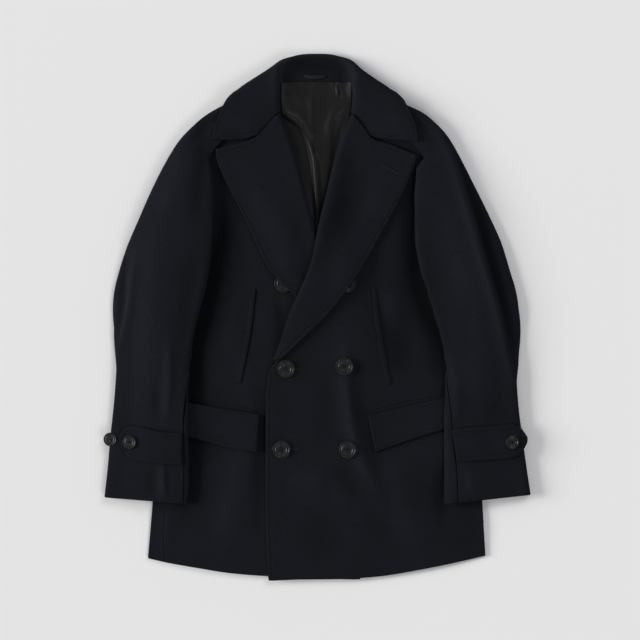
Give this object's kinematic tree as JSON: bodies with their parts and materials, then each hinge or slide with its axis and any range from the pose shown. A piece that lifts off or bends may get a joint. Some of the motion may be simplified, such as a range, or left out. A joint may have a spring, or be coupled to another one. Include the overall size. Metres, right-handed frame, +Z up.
{
  "type": "pea coat",
  "caption": "Double-breasted pea coat lying flat on its back: wide notched lapels and collar, raglan sleeves with buttoned cuff straps, flap pockets and slanted hand-warmer welts.",
  "frame": {"origin": "the point on the resting surface under the middle of the coat's bounding box", "axes": "+X towards the wearer's left sleeve (the viewer's right), +Y from the hem to the collar, +Z up from the surface"},
  "size_m": [0.683, 0.8448, 0.0322],
  "materials": {
    "melton": "dense brushed wool melton, dark navy",
    "lining": "black satin lining with a soft sheen",
    "button": "dark horn-look resin, satin polish",
    "tape": "woven twill tape"
  },
  "bodies": {
    "root": {"back_right": "melton", "back_left": "melton", "lining_back": "lining", "front_right": "melton", "front_left": "melton", "lapel_right": "melton", "lapel_left": "melton", "collar": "melton", "sleeve_front_right": "melton", "sleeve_front_left": "melton", "sleeve_back_right": "melton", "sleeve_back_left": "melton", "cuff_strap_right": "melton", "cuff_strap_left": "melton", "flap_right": "melton", "flap_left": "melton", "welt_right": "melton", "welt_left": "melton", "hanger_loop": "tape", "button_front_right_top": "button", "button_front_left_top": "button", "button_front_edge_middle": "button", "button_front_left_middle": "button", "button_front_edge_bottom": "button", "button_front_left_bottom": "button", "button_cuff_right_inner": "button", "button_cuff_right_outer": "button", "button_cuff_left": "button"}
  },
  "joints": []
}
